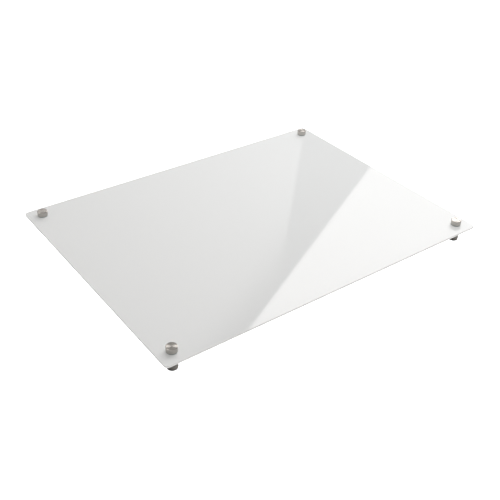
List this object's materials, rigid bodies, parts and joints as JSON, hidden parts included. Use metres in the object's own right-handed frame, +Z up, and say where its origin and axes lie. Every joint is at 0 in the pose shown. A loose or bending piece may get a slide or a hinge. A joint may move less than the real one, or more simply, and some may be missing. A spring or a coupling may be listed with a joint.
{
  "type": "desk privacy panel",
  "caption": "Flat glossy white sheet with small rounded corners, held clear of a surface by a metal standoff at each corner, each with a screw-on cap and a padded barrel.",
  "frame": {"origin": "on the surface that the pads rest on, under the middle of the sheet", "axes": "+X along the sheet's long side, +Y along its short side, +Z up out of the sheet's front face"},
  "size_m": [0.9144, 0.6858, 0.0561],
  "materials": {
    "opal_acrylic": "white cast acrylic, polished face and edges",
    "satin_nickel_steel": "satin nickel on turned steel",
    "stud_steel": "bright zinc plated steel",
    "clear_washer": "clear plastic with a soft sheen",
    "natural_nylon": "natural nylon",
    "black_rubber": "matt black rubber"
  },
  "bodies": {
    "panel_and_barrels": {"panel": "opal_acrylic", "base_pad_front_left": "black_rubber", "barrel_front_left": "satin_nickel_steel", "lower_washer_front_left": "clear_washer", "hole_bushing_front_left": "natural_nylon", "base_pad_front_right": "black_rubber", "barrel_front_right": "satin_nickel_steel", "lower_washer_front_right": "clear_washer", "hole_bushing_front_right": "natural_nylon", "base_pad_back_left": "black_rubber", "barrel_back_left": "satin_nickel_steel", "lower_washer_back_left": "clear_washer", "hole_bushing_back_left": "natural_nylon", "base_pad_back_right": "black_rubber", "barrel_back_right": "satin_nickel_steel", "lower_washer_back_right": "clear_washer", "hole_bushing_back_right": "natural_nylon"},
    "upper_washer_front_left": {"upper_washer_front_left": "clear_washer"},
    "cap_front_left": {"cap_front_left": "satin_nickel_steel", "cap_stud_front_left": "stud_steel"},
    "upper_washer_front_right": {"upper_washer_front_right": "clear_washer"},
    "cap_front_right": {"cap_front_right": "satin_nickel_steel", "cap_stud_front_right": "stud_steel"},
    "upper_washer_back_left": {"upper_washer_back_left": "clear_washer"},
    "cap_back_left": {"cap_back_left": "satin_nickel_steel", "cap_stud_back_left": "stud_steel"},
    "upper_washer_back_right": {"upper_washer_back_right": "clear_washer"},
    "cap_back_right": {"cap_back_right": "satin_nickel_steel", "cap_stud_back_right": "stud_steel"}
  },
  "joints": [
    {"name": "cap_lift_front_left", "type": "slide", "parent": "panel_and_barrels", "child": "upper_washer_front_left", "axis": [0, 0, 1], "range_m": [0, 0.0125]},
    {"name": "cap_turn_front_left", "type": "hinge", "parent": "upper_washer_front_left", "child": "cap_front_left", "pos_m": [-0.4223, -0.308, 0.05], "axis": [0, 0, 1], "range_deg": [0, 3600]},
    {"name": "cap_lift_front_right", "type": "slide", "parent": "panel_and_barrels", "child": "upper_washer_front_right", "axis": [0, 0, 1], "range_m": [0, 0.0125]},
    {"name": "cap_turn_front_right", "type": "hinge", "parent": "upper_washer_front_right", "child": "cap_front_right", "pos_m": [0.4223, -0.308, 0.05], "axis": [0, 0, 1], "range_deg": [0, 3600]},
    {"name": "cap_lift_back_left", "type": "slide", "parent": "panel_and_barrels", "child": "upper_washer_back_left", "axis": [0, 0, 1], "range_m": [0, 0.0125]},
    {"name": "cap_turn_back_left", "type": "hinge", "parent": "upper_washer_back_left", "child": "cap_back_left", "pos_m": [-0.4223, 0.308, 0.05], "axis": [0, 0, 1], "range_deg": [0, 3600]},
    {"name": "cap_lift_back_right", "type": "slide", "parent": "panel_and_barrels", "child": "upper_washer_back_right", "axis": [0, 0, 1], "range_m": [0, 0.0125]},
    {"name": "cap_turn_back_right", "type": "hinge", "parent": "upper_washer_back_right", "child": "cap_back_right", "pos_m": [0.4223, 0.308, 0.05], "axis": [0, 0, 1], "range_deg": [0, 3600]}
  ],
  "couplings": [
    {"joint": "cap_lift_front_left", "follows": "cap_turn_front_left", "m_per_rad": 0.00019894},
    {"joint": "cap_lift_front_right", "follows": "cap_turn_front_right", "m_per_rad": 0.00019894},
    {"joint": "cap_lift_back_left", "follows": "cap_turn_back_left", "m_per_rad": 0.00019894},
    {"joint": "cap_lift_back_right", "follows": "cap_turn_back_right", "m_per_rad": 0.00019894}
  ]
}
